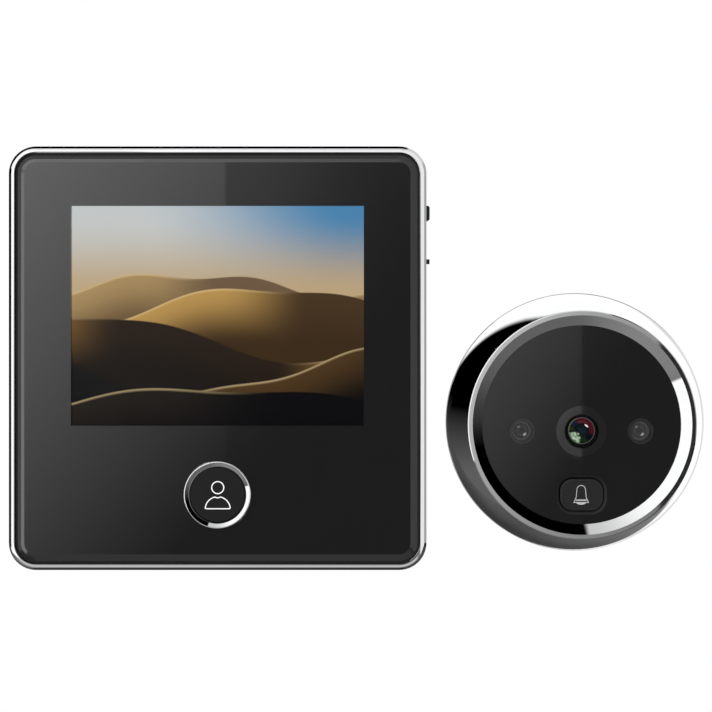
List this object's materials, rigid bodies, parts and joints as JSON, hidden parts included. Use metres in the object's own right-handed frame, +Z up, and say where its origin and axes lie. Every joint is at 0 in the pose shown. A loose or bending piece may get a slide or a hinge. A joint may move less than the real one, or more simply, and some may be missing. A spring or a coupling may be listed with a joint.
{
  "type": "peephole door camera",
  "caption": "Door viewer set: square indoor screen unit hung on a steel door bracket, and a round outdoor camera with a bell button and a neck for the door hole.",
  "frame": {"origin": "centre of the two door screw holes of the bracket, on the door face", "axes": "+Z up, -Y out of the door towards the viewer, +X to the viewer's right"},
  "size_m": [0.1483, 0.0232, 0.0886],
  "materials": {
    "chrome": "bright chrome plate",
    "gloss_black": "polished black",
    "button_black": "satin black",
    "cover_black": "fine moulded texture",
    "clear_window": "clear",
    "light_window": "smoked clear",
    "lens_glass": "coated",
    "display": "lit picture",
    "display_tray": "stamped",
    "circuit_board": "solder mask",
    "chip_black": "moulded",
    "lens_black": "anodised look",
    "cell_foil": "pouch foil",
    "sheet_steel": "zinc plated",
    "screw_steel": "plated",
    "socket_ivory": "moulded",
    "led_resin": "clear resin",
    "seal_rubber": "silicone",
    "gasket_foam": "closed-cell foam",
    "insert_brass": "turned"
  },
  "bodies": {
    "door_side": {"mounting_bracket": "sheet_steel", "camera_housing": "chrome", "face_panel": "gloss_black", "lens_window": "clear_window", "lens_barrel": "lens_black", "lens_element": "lens_glass", "lens_holder": "lens_black", "image_sensor": "chip_black", "camera_board": "circuit_board", "ir_windows": "light_window", "ir_leds": "led_resin", "bell_seal": "seal_rubber", "bell_switch": "chip_black", "lead_socket": "socket_ivory", "rear_cap": "cover_black", "rear_cap_screws": "screw_steel", "threaded_inserts": "insert_brass", "door_gasket": "gasket_foam"},
    "monitor": {"rear_cover": "cover_black", "bezel": "chrome", "front_panel": "gloss_black", "screen_window": "clear_window", "lcd_glass": "display", "lcd_tray": "display_tray", "main_board": "circuit_board", "board_chips": "chip_black", "battery": "cell_foil", "speaker": "chip_black", "view_ring": "chrome", "view_switch": "chip_black", "power_switch": "sheet_steel", "reset_switch": "sheet_steel", "usb_shell": "sheet_steel", "usb_tongue": "chip_black", "card_socket": "sheet_steel", "camera_socket": "socket_ivory", "case_screws": "screw_steel", "board_screws": "screw_steel"},
    "view_button": {"view_button": "button_black", "view_plunger": "socket_ivory"},
    "power_knob": {"power_knob": "button_black"},
    "reset_button": {"reset_button": "button_black"},
    "bell_button": {"bell_button": "button_black", "bell_plunger": "socket_ivory"}
  },
  "joints": [
    {"name": "monitor_lift", "type": "slide", "parent": "door_side", "child": "monitor", "axis": [0, 0, 1], "range_m": [0, 0.0036]},
    {"name": "view_press", "type": "slide", "parent": "monitor", "child": "view_button", "axis": [0, 1, 0], "range_m": [0, 0.0005], "stiffness_N_per_m": 3000, "springref_m": -0.0002},
    {"name": "power_slide", "type": "slide", "parent": "monitor", "child": "power_knob", "axis": [0, 0, -1], "range_m": [0, 0.002]},
    {"name": "reset_press", "type": "slide", "parent": "monitor", "child": "reset_button", "axis": [-1, 0, 0], "range_m": [0, 0.0004], "stiffness_N_per_m": 2500, "springref_m": -0.0002},
    {"name": "bell_press", "type": "slide", "parent": "door_side", "child": "bell_button", "axis": [0, 1, 0], "range_m": [0, 0.0005], "stiffness_N_per_m": 3000, "springref_m": -0.0002}
  ]
}
